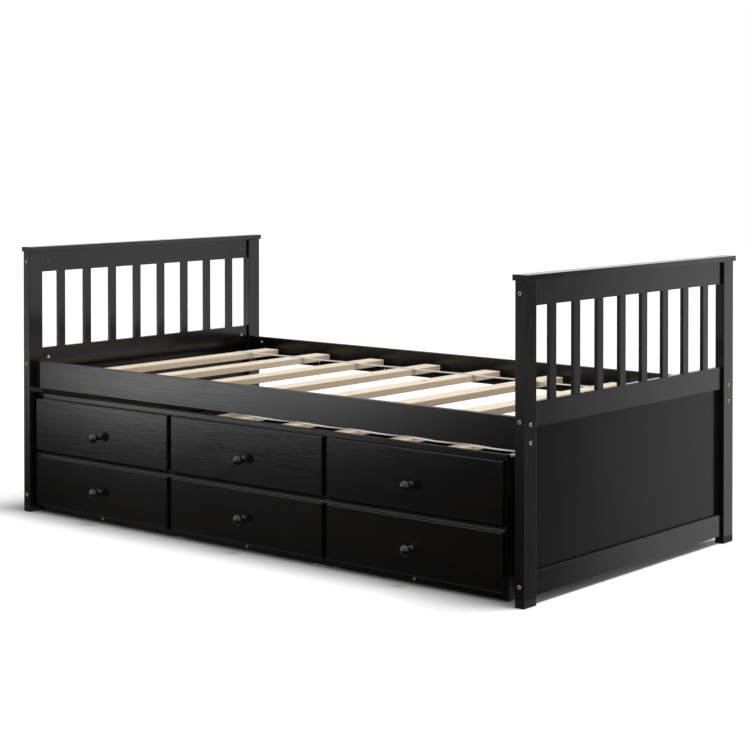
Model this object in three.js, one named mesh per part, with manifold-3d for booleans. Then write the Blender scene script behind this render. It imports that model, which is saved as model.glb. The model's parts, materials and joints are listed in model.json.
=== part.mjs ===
// A twin captain's bed with a roll-out trundle, in millimetres with +Z up.
//
// X runs along the bed, from the headboard (-X) to the footboard (+X). Y runs across it, with the drawers
// at the front (-Y). The origin is on the floor, at the centre of the whole object's bounding box.
//
// The bed is two end boards (posts on glides, cap, grille of rails and spindles, lower panel, bottom rail),
// two side rails with slat ledges, and loose slats tied by two ribbons. The trundle is a carcass on casters,
// with a false upper row of fronts, three real drawers below them, and a slat mat over the drawers.

import * as THREE from 'three';
import { mergeVertices } from 'three/addons/utils/BufferGeometryUtils.js';
import Module from 'manifold-3d';

const wasm = await Module();
wasm.setup();

// ---------------------------------------------------------------------------------------------------------
// Driving dimensions
// ---------------------------------------------------------------------------------------------------------

const bedLength = 2000; // over the posts' outer faces, along X
const bedWidth = 1079; // over the posts' outer faces, along Y
const bedHeight = 862.5; // floor to the top of the caps
const fitGap = 0.3; // between neighbours that are fitted together but not glued

const post = { thickness: 30, width: 55 }; // along X, along Y
const glide = { height: 20, bevel: 1.5 }; // a plastic foot under each post
const cap = { height: 16, overhang: 9.5, inset: 0.5 }; // past the posts in X, short of them in Y

// An end board's members. Heights are from the floor, and set-backs from the posts' +X faces.
const board = {
  bottomRailLow: 23,
  bottomRailHigh: 88,
  midRailLow: 464.5,
  midRailHigh: 530.5,
  upperRailLow: 779.5,
  railThickness: 16,
  railSetBack: 8,
  panelThickness: 6,
  panelSetBack: 17.5,
  rebateDepth: 10,
  spindleCount: 8,
  spindlePitch: 112.6,
  spindleWidth: 28.5,
  spindleThickness: 11.5,
  spindleTenon: 4,
};

const sideRail = { low: 404.5, high: 490, thickness: 20, setBack: 22.5 }; // behind the posts' outer faces
const ledge = { top: 435, height: 20, width: 40 };

const slat = { width: 64, thickness: 20 };
const bedSlats = { count: 8, length: 944, firstCentre: -843, pitch: 247.8 };
const ribbon = { width: 22, thickness: 1.2, fromCentre: 332 };

// The trundle's carcass. Its ends are set in a little from the ends of the face.
const trundle = {
  left: -962,
  right: 925.2,
  floorGap: 5,
  top: 386.5,
  frontSetBack: 15, // drawer fronts behind the front posts
  faceThickness: 16,
  endThickness: 15,
  endInset: 2,
  endLow: 26,
  endTop: 242,
  endStepTop: 380, // the end boards stand higher just behind the face
  endStepDepth: 60,
  back: 470,
  backRailLow: 188,
  backRailThickness: 18,
  dividerThickness: 15,
  dividerTop: 186,
};

const front = { sideMargin: 5, gap: 16.5, thickness: 15, bevelWidth: 2.2, bevelDepth: 1.8 };
const lowerRow = { low: 26.5, high: 184.5 };
const upperRow = { low: 203.5, high: 371.5 };
const moulding = { low: 185.5, high: 199, projection: 13.5, flatTop: 3, arris: 0.8 };

const knob = { headRadius: 15.5, neckRadius: 7, footRadius: 10, projection: 34 };
const knobHeight = { upper: 274, lower: 100 };

const tray = { width: 516, depth: 385, low: 27.3, high: 150, wall: 12, bottom: 6 };
const openingMargin = 4; // around a tray, in the face
const behindTrays = 8; // from a closed tray to the board behind it
const runner = { width: 30, low: 9, high: 27 };

// The slat mat. One more slat fills the head end, endSlatGap before the first of the others.
const mat = {
  top: 224,
  thickness: 16,
  length: 938,
  firstRightEdge: -808,
  pitch: 243.5,
  count: 8,
  endSlatGap: 7,
  ribbonInset: 100,
};
const cleat = { width: 20, height: 20 };

const caster = {
  wheelRadius: 20,
  wheelWidth: 18,
  axleRadius: 3,
  boreRadius: 3.3,
  sideGap: 1,
  plate: 3,
  height: 47,
  length: 30,
  cheekLength: 18,
  cheekBelowAxle: 8,
  fromFace: 50,
  fromBackRail: 32,
};
const casterBlock = { length: 46, high: 110 };

// ---------------------------------------------------------------------------------------------------------
// Derived places
// ---------------------------------------------------------------------------------------------------------

const postOuterX = bedLength / 2;
const postOuterY = bedWidth / 2;
const postInnerX = postOuterX - post.thickness;
const postInnerY = postOuterY - post.width;
const capLow = bedHeight - cap.height;
const bedSlatTop = ledge.top + slat.thickness;

const frontY = -postOuterY + trundle.frontSetBack; // plane of the drawer fronts
const faceFrontY = frontY + front.thickness;
const faceBackY = faceFrontY + trundle.faceThickness;
const backRailInnerY = trundle.back - trundle.backRailThickness;
const endInner = {
  left: trundle.left + trundle.endInset + trundle.endThickness,
  right: trundle.right - trundle.endInset - trundle.endThickness,
};
const betweenEnds = [endInner.left + fitGap, endInner.right - fitGap];

const trayFrontY = faceFrontY - fitGap;
const trayBackY = trayFrontY + tray.depth;
const innerBoardY = trayBackY + behindTrays;
const matLow = mat.top - mat.thickness;
const cleatZ = [matLow - cleat.height, matLow];

// Three equal columns of fronts, with a gap between neighbours.
const columnPitch = (trundle.right - trundle.left - 2 * front.sideMargin + front.gap) / 3;
const columnWidth = columnPitch - front.gap;
const columns = ['left', 'middle', 'right'].map((name, i) => ({
  name,
  x: trundle.left + front.sideMargin + columnWidth / 2 + i * columnPitch,
}));

const casterSpan = caster.wheelWidth + 2 * (caster.sideGap + caster.plate);
const casterY = { front: faceBackY + caster.fromFace, back: backRailInnerY - caster.fromBackRail };
const casterX = { left: endInner.left + casterSpan / 2, right: endInner.right - casterSpan / 2 };

// The knobs stand proud of the front posts, so the model moves back by half of that to centre its box.
const knobOverhang = knob.projection - trundle.frontSetBack;

// ---------------------------------------------------------------------------------------------------------
// Materials
// ---------------------------------------------------------------------------------------------------------

const espresso = new THREE.MeshStandardMaterial({ color: 0x17130f, roughness: 0.38, metalness: 0 });
const knobLacquer = new THREE.MeshStandardMaterial({ color: 0x0c0a09, roughness: 0.22, metalness: 0 });
const pine = new THREE.MeshStandardMaterial({ color: 0xe2c79c, roughness: 0.6, metalness: 0 });
const webbing = new THREE.MeshStandardMaterial({ color: 0xf2f0ea, roughness: 0.85, metalness: 0 });
const zincSteel = new THREE.MeshStandardMaterial({ color: 0x9a9c9e, roughness: 0.4, metalness: 0.9 });
const blackPlastic = new THREE.MeshStandardMaterial({ color: 0x1a1a1b, roughness: 0.5, metalness: 0 });

// ---------------------------------------------------------------------------------------------------------
// Geometry helpers
// ---------------------------------------------------------------------------------------------------------

// A box from its [low, high] range along each axis.
function boxGeometry([x0, x1], [y0, y1], [z0, z1]) {
  const geometry = new THREE.BoxGeometry(x1 - x0, y1 - y0, z1 - z0);
  geometry.translate((x0 + x1) / 2, (y0 + y1) / 2, (z0 + z1) / 2);
  return geometry;
}

// A range of a given length about its middle.
function around(centre, length) {
  return [centre - length / 2, centre + length / 2];
}

// The range between two places, in either order.
function between(a, b) {
  return [Math.min(a, b), Math.max(a, b)];
}

// A round bar along X.
function barGeometry(radius, length, [x, y, z], sides) {
  const geometry = new THREE.CylinderGeometry(radius, radius, length, sides);
  geometry.rotateZ(Math.PI / 2);
  geometry.translate(x, y, z);
  return geometry;
}

// An outline of [y, z] points, extruded over a range of X.
function extrudeAlongX(outline, [x0, x1]) {
  const shape = new THREE.Shape(outline.map(([y, z]) => new THREE.Vector2(y, z)));
  const geometry = new THREE.ExtrudeGeometry(shape, { depth: x1 - x0, bevelEnabled: false });
  geometry.rotateZ(Math.PI / 2);
  geometry.rotateY(Math.PI / 2);
  geometry.translate(x0, 0, 0);
  return geometry;
}

// A solid skinned over rings of corners that match one to one. Each ring runs counter-clockwise as seen
// from beyond the last ring, and the first and last rings are closed.
function loftGeometry(rings) {
  const count = rings[0].length;
  const lastRing = (rings.length - 1) * count;
  const indices = [];
  for (let ring = 0; ring < lastRing; ring += count) {
    for (let i = 0; i < count; i += 1) {
      const a = ring + i;
      const b = ring + ((i + 1) % count);
      indices.push(a, b, b + count, a, b + count, a + count);
    }
  }
  for (let i = 1; i + 1 < count; i += 1) {
    indices.push(0, i + 1, i);
    indices.push(lastRing, lastRing + i, lastRing + i + 1);
  }
  const geometry = new THREE.BufferGeometry();
  geometry.setAttribute('position', new THREE.Float32BufferAttribute(rings.flat(2), 3));
  geometry.setIndex(indices);
  geometry.computeVertexNormals();
  return geometry;
}

function toSolid(geometry) {
  const bare = geometry.clone();
  bare.deleteAttribute('normal');
  bare.deleteAttribute('uv');
  const merged = mergeVertices(bare, 1e-4);
  const vertProperties = new Float32Array(merged.attributes.position.array);
  const triVerts = new Uint32Array(merged.index.array);
  return new wasm.Manifold(new wasm.Mesh({ numProp: 3, vertProperties, triVerts }));
}

function toGeometry(solid) {
  const mesh = solid.getMesh();
  const geometry = new THREE.BufferGeometry();
  geometry.setAttribute('position', new THREE.BufferAttribute(new Float32Array(mesh.vertProperties), 3));
  geometry.setIndex(new THREE.BufferAttribute(new Uint32Array(mesh.triVerts), 1));
  geometry.computeVertexNormals();
  return geometry;
}

function join(...geometries) {
  return toGeometry(geometries.map(toSolid).reduce((whole, piece) => whole.add(piece)));
}

function cut(geometry, ...tools) {
  return toGeometry(tools.map(toSolid).reduce((rest, tool) => rest.subtract(tool), toSolid(geometry)));
}

const model = new THREE.Group();

function addPart(name, geometry, material) {
  const mesh = new THREE.Mesh(geometry, material);
  mesh.name = name;
  model.add(mesh);
}

// ---------------------------------------------------------------------------------------------------------
// End boards
// ---------------------------------------------------------------------------------------------------------

// Both end boards are the same assembly. low is the X of their posts' -X faces.
function addEndBoard(name, low) {
  const postX = [low, low + post.thickness];
  const railHighX = postX[1] - board.railSetBack;
  const railX = [railHighX - board.railThickness, railHighX];
  const panelHighX = postX[1] - board.panelSetBack;

  for (const [row, postY] of [['front', [-postOuterY, -postInnerY]], ['back', [postInnerY, postOuterY]]]) {
    addPart(`${name}_post_${row}`, boxGeometry(postX, postY, [glide.height, capLow]), espresso);
    addPart(`${name}_glide_${row}`, glideGeometry(postX, postY), blackPlastic);
  }
  addPart(`${name}_cap`, capGeometry(postX), espresso);
  addPart(`${name}_grille`, grilleGeometry(railX, panelHighX), espresso);
  addPart(`${name}_bottom_rail`, bottomRailGeometry(railX, panelHighX), espresso);
  addPart(`${name}_panel`, panelGeometry(panelHighX), espresso);
}

// A block as wide as the post, bevelled round the floor.
function glideGeometry(postX, postY) {
  const ring = (z, inset) => {
    const [x0, x1] = [postX[0] + inset, postX[1] - inset];
    const [y0, y1] = [postY[0] + inset, postY[1] - inset];
    return [[x0, y0, z], [x1, y0, z], [x1, y1, z], [x0, y1, z]];
  };
  return loftGeometry([ring(0, glide.bevel), ring(glide.bevel, 0), ring(glide.height, 0)]);
}

function capGeometry([x0, x1]) {
  const halfLength = postOuterY - cap.inset;
  return boxGeometry([x0 - cap.overhang, x1 + cap.overhang], [-halfLength, halfLength], [capLow, bedHeight]);
}

// The cutter for the rebate that takes the panel's edge, open at the rail's -X face and at its ends.
function rebateGeometry(railX, panelHighX, heights) {
  return boxGeometry([railX[0] - 1, panelHighX + fitGap], [-postInnerY - 1, postInnerY + 1], heights);
}

// Upper rail, mid rail and the spindles tenoned between them, glued up as one grille.
function grilleGeometry(railX, panelHighX) {
  const across = [-postInnerY, postInnerY];
  const upperRail = boxGeometry(railX, across, [board.upperRailLow, capLow]);
  const midRail = boxGeometry(railX, across, [board.midRailLow, board.midRailHigh]);
  const spindleX = around((railX[0] + railX[1]) / 2, board.spindleThickness);
  const spindleZ = [board.midRailHigh - board.spindleTenon, board.upperRailLow + board.spindleTenon];
  const spindles = [];
  for (let i = 0; i < board.spindleCount; i += 1) {
    const y = (i - (board.spindleCount - 1) / 2) * board.spindlePitch;
    spindles.push(boxGeometry(spindleX, around(y, board.spindleWidth), spindleZ));
  }
  const rebateZ = [board.midRailLow - 1, board.midRailLow + board.rebateDepth];
  return cut(join(upperRail, midRail, ...spindles), rebateGeometry(railX, panelHighX, rebateZ));
}

function bottomRailGeometry(railX, panelHighX) {
  const rail = boxGeometry(railX, [-postInnerY, postInnerY], [board.bottomRailLow, board.bottomRailHigh]);
  const rebateZ = [board.bottomRailHigh - board.rebateDepth, board.bottomRailHigh + 1];
  return cut(rail, rebateGeometry(railX, panelHighX, rebateZ));
}

function panelGeometry(panelHighX) {
  const low = board.bottomRailHigh - board.rebateDepth + fitGap;
  const high = board.midRailLow + board.rebateDepth - fitGap;
  const across = [-postInnerY + fitGap, postInnerY - fitGap];
  return boxGeometry([panelHighX - board.panelThickness, panelHighX], across, [low, high]);
}

// ---------------------------------------------------------------------------------------------------------
// Side rails, ledges, bed slats and their ribbons
// ---------------------------------------------------------------------------------------------------------

// side is -1 at the front and +1 at the back.
function addSideRail(name, side) {
  const along = [-postInnerX, postInnerX];
  const outer = side * (postOuterY - sideRail.setBack);
  const inner = outer - side * sideRail.thickness;
  const ledgeInner = inner - side * ledge.width;
  const railZ = [sideRail.low, sideRail.high];
  const ledgeZ = [ledge.top - ledge.height, ledge.top];
  addPart(`side_rail_${name}`, boxGeometry(along, between(outer, inner), railZ), espresso);
  addPart(`slat_ledge_${name}`, boxGeometry(along, between(inner, ledgeInner), ledgeZ), espresso);
}

function addBedSlats() {
  const across = around(0, bedSlats.length);
  for (let i = 0; i < bedSlats.count; i += 1) {
    const x = bedSlats.firstCentre + i * bedSlats.pitch;
    addPart(`bed_slat_${i + 1}`, boxGeometry(around(x, slat.width), across, [ledge.top, bedSlatTop]), pine);
  }
}

// A webbing ribbon lies across the tops of all the slats, stapled to each. side is -1 at the front.
function addBedRibbon(name, side) {
  const first = bedSlats.firstCentre - slat.width / 2;
  const last = first + (bedSlats.count - 1) * bedSlats.pitch + slat.width;
  const across = around(side * ribbon.fromCentre, ribbon.width);
  const heights = [bedSlatTop, bedSlatTop + ribbon.thickness];
  addPart(`slat_ribbon_${name}`, boxGeometry([first, last], across, heights), webbing);
}

// ---------------------------------------------------------------------------------------------------------
// Trundle carcass
// ---------------------------------------------------------------------------------------------------------

// The face has one opening for each drawer, and a cleat along its back that carries the slat mat.
function trundleFaceGeometry() {
  const plate = boxGeometry(
    [trundle.left, trundle.right],
    [faceFrontY, faceBackY],
    [trundle.floorGap, trundle.top],
  );
  const cleatBar = boxGeometry(betweenEnds, [faceBackY - 1, faceBackY + cleat.width], cleatZ);
  const openings = columns.map(({ x }) =>
    boxGeometry(
      around(x, tray.width + 2 * openingMargin),
      [faceFrontY - 1, faceBackY + 1],
      [runner.high, tray.high + openingMargin],
    ),
  );
  return cut(join(plate, cleatBar), ...openings);
}

// A nosing between the two rows of fronts. Its top slopes down to a narrow blunt nose.
function mouldingGeometry() {
  const { low, high, projection, flatTop, arris } = moulding;
  const noseY = faceFrontY - projection;
  const noseTop = high - (projection - flatTop);
  const outline = [
    [faceFrontY, low],
    [faceFrontY, high],
    [faceFrontY - flatTop, high],
    [noseY + arris, noseTop + arris],
    [noseY, noseTop - arris],
    [noseY, low + arris],
    [noseY + arris, low],
  ];
  return extrudeAlongX(outline, [trundle.left, trundle.right]);
}

// An end board, higher just behind the face. A block is glued low on its inner face over each caster.
// side is -1 at the left.
function trundleEndGeometry(inner, side) {
  const outer = inner + side * trundle.endThickness;
  const panelZ = [trundle.endLow, trundle.endTop];
  const panel = boxGeometry(between(inner, outer), [faceBackY, trundle.back], panelZ);
  const step = boxGeometry(
    between(inner, outer),
    [faceBackY, faceBackY + trundle.endStepDepth],
    [trundle.endTop - 1, trundle.endStepTop],
  );
  const blocks = Object.values(casterY).map((y) =>
    boxGeometry(
      between(inner + side, inner - side * casterSpan),
      around(y, casterBlock.length),
      [caster.height, casterBlock.high],
    ),
  );
  return join(panel, step, ...blocks);
}

// The back rail and its cleat leave the space below the slats open at the back.
function backRailGeometry() {
  const railZ = [trundle.backRailLow, trundle.endTop];
  const rail = boxGeometry(betweenEnds, [backRailInnerY, trundle.back], railZ);
  const cleatBar = boxGeometry(betweenEnds, [backRailInnerY - cleat.width, backRailInnerY + 1], cleatZ);
  return join(rail, cleatBar);
}

// Two dividers between the drawers, and a runner under the middle of each tray, all joined to a long board
// behind the drawers.
function drawerCarcassGeometry() {
  const innerBoard = boxGeometry(
    betweenEnds,
    [innerBoardY, innerBoardY + trundle.dividerThickness],
    [runner.low, trundle.dividerTop],
  );
  const along = [faceBackY + fitGap, innerBoardY + 1];
  const dividers = [1, 2].map((i) => {
    const x = (columns[i - 1].x + columns[i].x) / 2;
    return boxGeometry(around(x, trundle.dividerThickness), along, [runner.low, trundle.dividerTop]);
  });
  const runnerZ = [runner.low, runner.high];
  const runners = columns.map(({ x }) => boxGeometry(around(x, runner.width), along, runnerZ));
  return join(innerBoard, ...dividers, ...runners);
}

// The slats that carry the second mattress, stapled to two ribbons across their tops.
function slatMatGeometry() {
  const across = around((faceBackY + backRailInnerY) / 2, mat.length);
  const rightEdges = [mat.firstRightEdge - slat.width - mat.endSlatGap];
  for (let i = 0; i < mat.count; i += 1) {
    rightEdges.push(mat.firstRightEdge + i * mat.pitch);
  }
  const slats = rightEdges.map((x) => boxGeometry([x - slat.width, x], across, [matLow, mat.top]));
  const ribbonX = [rightEdges[0] - slat.width, rightEdges[mat.count]];
  const ribbons = [across[0] + mat.ribbonInset, across[1] - mat.ribbonInset].map((y) =>
    boxGeometry(ribbonX, around(y, ribbon.width), [mat.top - 0.2, mat.top + ribbon.thickness]),
  );
  return join(...slats, ...ribbons);
}

// ---------------------------------------------------------------------------------------------------------
// Fronts, knobs and drawers
// ---------------------------------------------------------------------------------------------------------

// A board whose four front edges are bevelled, as rings of corners from the back to the front.
function frontGeometry(x, row, backY) {
  const ring = (y, inset) => {
    const [x0, x1] = around(x, columnWidth - 2 * inset);
    const z0 = row.low + inset;
    const z1 = row.high - inset;
    return [[x0, y, z0], [x1, y, z0], [x1, y, z1], [x0, y, z1]];
  };
  return loftGeometry([ring(backY, 0), ring(frontY + front.bevelDepth, 0), ring(frontY, front.bevelWidth)]);
}

// A turned mushroom knob, its foot on the front and its head out along -Y.
function knobGeometry(x, z) {
  const { headRadius: head, neckRadius: neck, footRadius: foot, projection: tip } = knob;
  const profile = new THREE.Path();
  profile.moveTo(0, 0);
  profile.lineTo(foot, 0);
  profile.lineTo(foot, 0.06 * tip);
  profile.bezierCurveTo(neck, 0.14 * tip, neck, 0.32 * tip, neck, 0.46 * tip);
  profile.bezierCurveTo(neck, 0.6 * tip, head, 0.56 * tip, head, 0.75 * tip);
  profile.bezierCurveTo(head, 0.89 * tip, 0.66 * head, tip, 0, tip);
  const isNew = (point, i, all) => i === 0 || point.distanceTo(all[i - 1]) > 0.01;
  const points = profile.getPoints(6).filter(isNew);
  const geometry = new THREE.LatheGeometry(points, 28);
  geometry.rotateX(Math.PI);
  geometry.translate(x, frontY, z);
  return geometry;
}

// An open tray behind a drawer front.
function trayGeometry(x) {
  const outside = boxGeometry(around(x, tray.width), [trayFrontY, trayBackY], [tray.low, tray.high]);
  const inside = boxGeometry(
    around(x, tray.width - 2 * tray.wall),
    [trayFrontY + tray.wall, trayBackY - tray.wall],
    [tray.low + tray.bottom, tray.high + 1],
  );
  return cut(outside, inside);
}

// One column is a false front above a drawer.
function addColumn({ name, x }) {
  addPart(`upper_front_${name}`, frontGeometry(x, upperRow, faceFrontY), espresso);
  addPart(`upper_knob_${name}`, knobGeometry(x, knobHeight.upper), knobLacquer);
  addPart(`drawer_front_${name}`, frontGeometry(x, lowerRow, trayFrontY), espresso);
  addPart(`drawer_tray_${name}`, trayGeometry(x), espresso);
  addPart(`drawer_knob_${name}`, knobGeometry(x, knobHeight.lower), knobLacquer);
}

// ---------------------------------------------------------------------------------------------------------
// Casters
// ---------------------------------------------------------------------------------------------------------

// A top plate and two cheeks, with the axle riveted through them.
function forkGeometry(x, y) {
  const plateLow = caster.height - caster.plate;
  const plate = boxGeometry(around(x, casterSpan), around(y, caster.length), [plateLow, caster.height]);
  const cheekZ = [caster.wheelRadius - caster.cheekBelowAxle, plateLow + 1];
  const cheeks = [-1, 1].map((side) => {
    const outer = x + (side * casterSpan) / 2;
    return boxGeometry(between(outer, outer - side * caster.plate), around(y, caster.cheekLength), cheekZ);
  });
  const axle = barGeometry(caster.axleRadius, casterSpan, [x, y, caster.wheelRadius], 20);
  return join(plate, ...cheeks, axle);
}

function wheelGeometry(x, y) {
  const centre = [x, y, caster.wheelRadius];
  const tread = barGeometry(caster.wheelRadius, caster.wheelWidth, centre, 40);
  return cut(tread, barGeometry(caster.boreRadius, caster.wheelWidth + 2, centre, 20));
}

function addCasters() {
  for (const [rowName, y] of Object.entries(casterY)) {
    for (const [sideName, x] of Object.entries(casterX)) {
      addPart(`caster_fork_${rowName}_${sideName}`, forkGeometry(x, y), zincSteel);
      addPart(`caster_wheel_${rowName}_${sideName}`, wheelGeometry(x, y), blackPlastic);
    }
  }
}

// ---------------------------------------------------------------------------------------------------------
// Assembly
// ---------------------------------------------------------------------------------------------------------

addEndBoard('head', -postOuterX);
addEndBoard('foot', postInnerX);
addSideRail('front', -1);
addSideRail('back', 1);
addBedSlats();
addBedRibbon('front', -1);
addBedRibbon('back', 1);

addPart('trundle_face', trundleFaceGeometry(), espresso);
addPart('trundle_moulding', mouldingGeometry(), espresso);
addPart('trundle_end_left', trundleEndGeometry(endInner.left, -1), espresso);
addPart('trundle_end_right', trundleEndGeometry(endInner.right, 1), espresso);
addPart('trundle_back_rail', backRailGeometry(), espresso);
addPart('drawer_carcass', drawerCarcassGeometry(), espresso);
addPart('trundle_slat_mat', slatMatGeometry(), pine);
columns.forEach(addColumn);
addCasters();

model.position.y = knobOverhang / 2;

export default model;
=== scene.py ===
import json
import math
import random

import bmesh
import bpy
from mathutils import Matrix, Vector


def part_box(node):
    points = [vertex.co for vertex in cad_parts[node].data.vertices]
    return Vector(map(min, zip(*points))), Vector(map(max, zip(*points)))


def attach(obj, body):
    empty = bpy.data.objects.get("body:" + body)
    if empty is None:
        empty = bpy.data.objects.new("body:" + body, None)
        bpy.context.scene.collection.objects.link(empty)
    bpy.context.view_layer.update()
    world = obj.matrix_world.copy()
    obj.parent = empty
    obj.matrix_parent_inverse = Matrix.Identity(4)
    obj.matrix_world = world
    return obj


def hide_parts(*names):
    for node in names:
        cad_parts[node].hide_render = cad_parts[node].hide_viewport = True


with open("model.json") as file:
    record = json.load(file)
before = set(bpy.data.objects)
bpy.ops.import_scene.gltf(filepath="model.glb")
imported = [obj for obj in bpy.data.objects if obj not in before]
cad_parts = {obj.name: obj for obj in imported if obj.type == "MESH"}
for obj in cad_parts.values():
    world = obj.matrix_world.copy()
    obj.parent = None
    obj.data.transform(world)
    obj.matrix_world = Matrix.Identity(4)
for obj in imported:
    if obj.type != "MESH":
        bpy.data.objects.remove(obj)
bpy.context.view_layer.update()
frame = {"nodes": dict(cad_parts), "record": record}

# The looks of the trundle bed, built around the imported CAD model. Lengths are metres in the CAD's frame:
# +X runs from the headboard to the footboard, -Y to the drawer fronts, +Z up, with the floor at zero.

nodes = frame["nodes"]
body_of_node = {n: body for body, members in frame["record"]["behaviour"]["bodies"].items() for n in members}

X, Y, Z = Vector((1, 0, 0)), Vector((0, 1, 0)), Vector((0, 0, 1))
MM = 0.001
COLUMNS = ("left", "middle", "right")
ENDS = (("head", 1), ("foot", -1))  # with the way along X that faces the middle of the bed
SIDES = (("front", -1), ("back", 1))  # with the way along Y that faces out


# ----------------------------------------------------------------------------------------------------
# Camera
# ----------------------------------------------------------------------------------------------------

CAMERA_PLACE = (3.7867, -4.4295, 1.2047)
CAMERA_TURN = math.radians(39.957)  # from +Y towards -X
CAMERA_DIP = math.radians(0.812)
CAMERA_LENS_MM = 89.43
CAMERA_SHIFT = (-0.008, -0.2758)


def make_camera():
    data = bpy.data.cameras.new("camera")
    data.lens = CAMERA_LENS_MM
    data.shift_x, data.shift_y = CAMERA_SHIFT
    camera = bpy.data.objects.new("camera", data)
    camera.location = CAMERA_PLACE
    camera.rotation_euler = (math.pi / 2 - CAMERA_DIP, 0, CAMERA_TURN)
    bpy.context.scene.collection.objects.link(camera)
    bpy.context.scene.camera = camera


# ----------------------------------------------------------------------------------------------------
# Materials
# ----------------------------------------------------------------------------------------------------


class Shader:
    """One material, with short names for the nodes that it needs."""

    def __init__(self, name, tree=None):
        if tree:
            self.tree = tree
            return
        self.material = bpy.data.materials.new(name)
        self.material.use_nodes = True
        self.tree = self.material.node_tree
        self.surface = self.tree.nodes["Principled BSDF"]

    def feed(self, socket, value):
        if isinstance(value, bpy.types.NodeSocket):
            self.tree.links.new(value, socket)
        else:
            socket.default_value = value

    def node(self, kind, inputs, **settings):
        made = self.tree.nodes.new("ShaderNode" + kind)
        for key, value in settings.items():
            setattr(made, key, value)
        for key, value in inputs.items():
            self.feed(made.inputs[key], value)
        return made

    def place(self):
        """A point of the piece in the CAD's frame, which moves with the piece."""
        return self.node("TexCoord", {}).outputs["Object"]

    def stretched(self, vector, scale, offset=(0, 0, 0)):
        return self.node("Mapping", {"Vector": vector, "Scale": scale, "Location": offset}).outputs[0]

    def noise(self, vector, scale=1.0, detail=2.0, roughness=0.5, distortion=0.0):
        inputs = {"Vector": vector, "Scale": scale, "Detail": detail}
        inputs.update({"Roughness": roughness, "Distortion": distortion})
        return self.node("TexNoise", inputs).outputs["Fac"]

    def math(self, operation, a, b=0.0):
        made = self.tree.nodes.new("ShaderNodeMath")
        made.operation = operation
        self.feed(made.inputs[0], a)
        self.feed(made.inputs[1], b)
        return made.outputs[0]

    def remap(self, value, low, high, to_low=0.0, to_high=1.0):
        inputs = {"Value": value, "From Min": low, "From Max": high, "To Min": to_low, "To Max": to_high}
        return self.node("MapRange", inputs, interpolation_type="SMOOTHSTEP").outputs[0]

    def mix(self, share, a, b):
        made = self.tree.nodes.new("ShaderNodeMix")
        made.data_type = "RGBA"
        self.feed(made.inputs["Factor"], share)
        self.feed(made.inputs[6], a)
        self.feed(made.inputs[7], b)
        return made.outputs[2]

    def mix_value(self, share, a, b):
        made = self.tree.nodes.new("ShaderNodeMix")
        made.data_type = "FLOAT"
        self.feed(made.inputs["Factor"], share)
        self.feed(made.inputs[2], a)
        self.feed(made.inputs[3], b)
        return made.outputs[0]

    def bump(self, height, depth, strength=1.0, under=None):
        inputs = {"Height": height, "Distance": depth, "Strength": strength}
        if under is not None:
            inputs["Normal"] = under
        return self.node("Bump", inputs).outputs[0]

    def set(self, **inputs):
        for key, value in inputs.items():
            self.feed(self.surface.inputs[key.replace("_", " ")], value)
        return self.material


def rgb(red, green, blue):
    return (red, green, blue, 1.0)


def grain_scale(along, fast, slow):
    """Noise scale per axis: slow along the grain, fast across it."""
    return tuple(slow if axis == along else fast for axis in "XYZ")


def wood_grain(s, along, offset):
    """Height and tint of wood pores under lacquer, both from 0 to 1."""
    place = s.place()
    figure = s.noise(s.stretched(place, grain_scale(along, 34, 1.1), offset), 1.0, 5.0, 0.55, 0.6)
    pores = s.noise(s.stretched(place, grain_scale(along, 520, 9), offset), 1.0, 2.0, 0.6)
    pores_open = s.remap(pores, 0.36, 0.62)
    return figure, pores_open


def edge_rub(s, width, share):
    """How far lacquer is rubbed thin along an edge: 0 on the flat, up to share on the arris."""
    rounded = s.node("Bevel", {"Radius": width}, samples=4).outputs[0]
    true = s.node("NewGeometry", {}).outputs["Normal"]
    turned = s.node("VectorMath", {0: rounded, 1: true}, operation="DOT_PRODUCT").outputs["Value"]
    edge = s.remap(turned, 1.0, 0.86)
    patchy = s.remap(s.noise(s.place(), 55.0, 3.0), 0.42, 0.72)
    return s.math("MULTIPLY", s.math("MULTIPLY", edge, patchy), share)


LACQUER_DEEP = rgb(0.0048, 0.0044, 0.0040)
LACQUER_WARM = rgb(0.0070, 0.0060, 0.0050)
LACQUER_RUBBED = rgb(0.030, 0.022, 0.016)


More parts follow.
